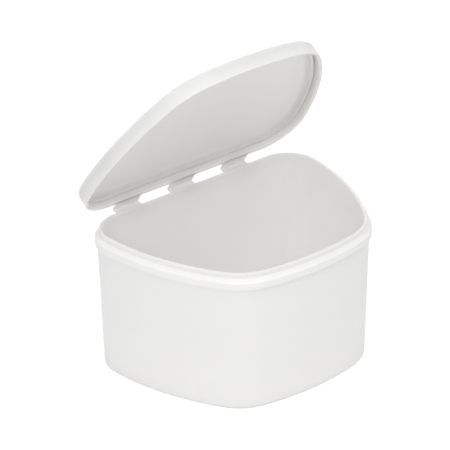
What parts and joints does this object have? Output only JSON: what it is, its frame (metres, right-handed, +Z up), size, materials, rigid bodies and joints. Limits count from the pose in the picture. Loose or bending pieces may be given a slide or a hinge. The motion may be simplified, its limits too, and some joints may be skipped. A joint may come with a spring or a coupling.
{
  "type": "denture case",
  "caption": "Deep D-shaped tub with a shallow hinged lid on flexible straps, for storing and soaking a denture.",
  "frame": {"origin": "middle of the tub's flat underside", "axes": "+Z up, +X along the hinge, -Y towards the rounded front; the lid is open as in the picture"},
  "size_m": [0.095, 0.0748, 0.1129],
  "materials": {
    "polypropylene": "satin, slightly translucent natural white polypropylene, smooth moulded"
  },
  "bodies": {
    "tub": {"tub": "polypropylene", "strap_left": "polypropylene", "strap_centre": "polypropylene", "strap_right": "polypropylene"},
    "lid": {"lid": "polypropylene"}
  },
  "joints": [
    {"name": "lid_hinge", "type": "hinge", "parent": "tub", "child": "lid", "pos_m": [0, 0.0383, 0.0506], "axis": [-1, 0, 0], "range_deg": [-55, 125], "deforming": ["strap_left", "strap_centre", "strap_right"]}
  ]
}
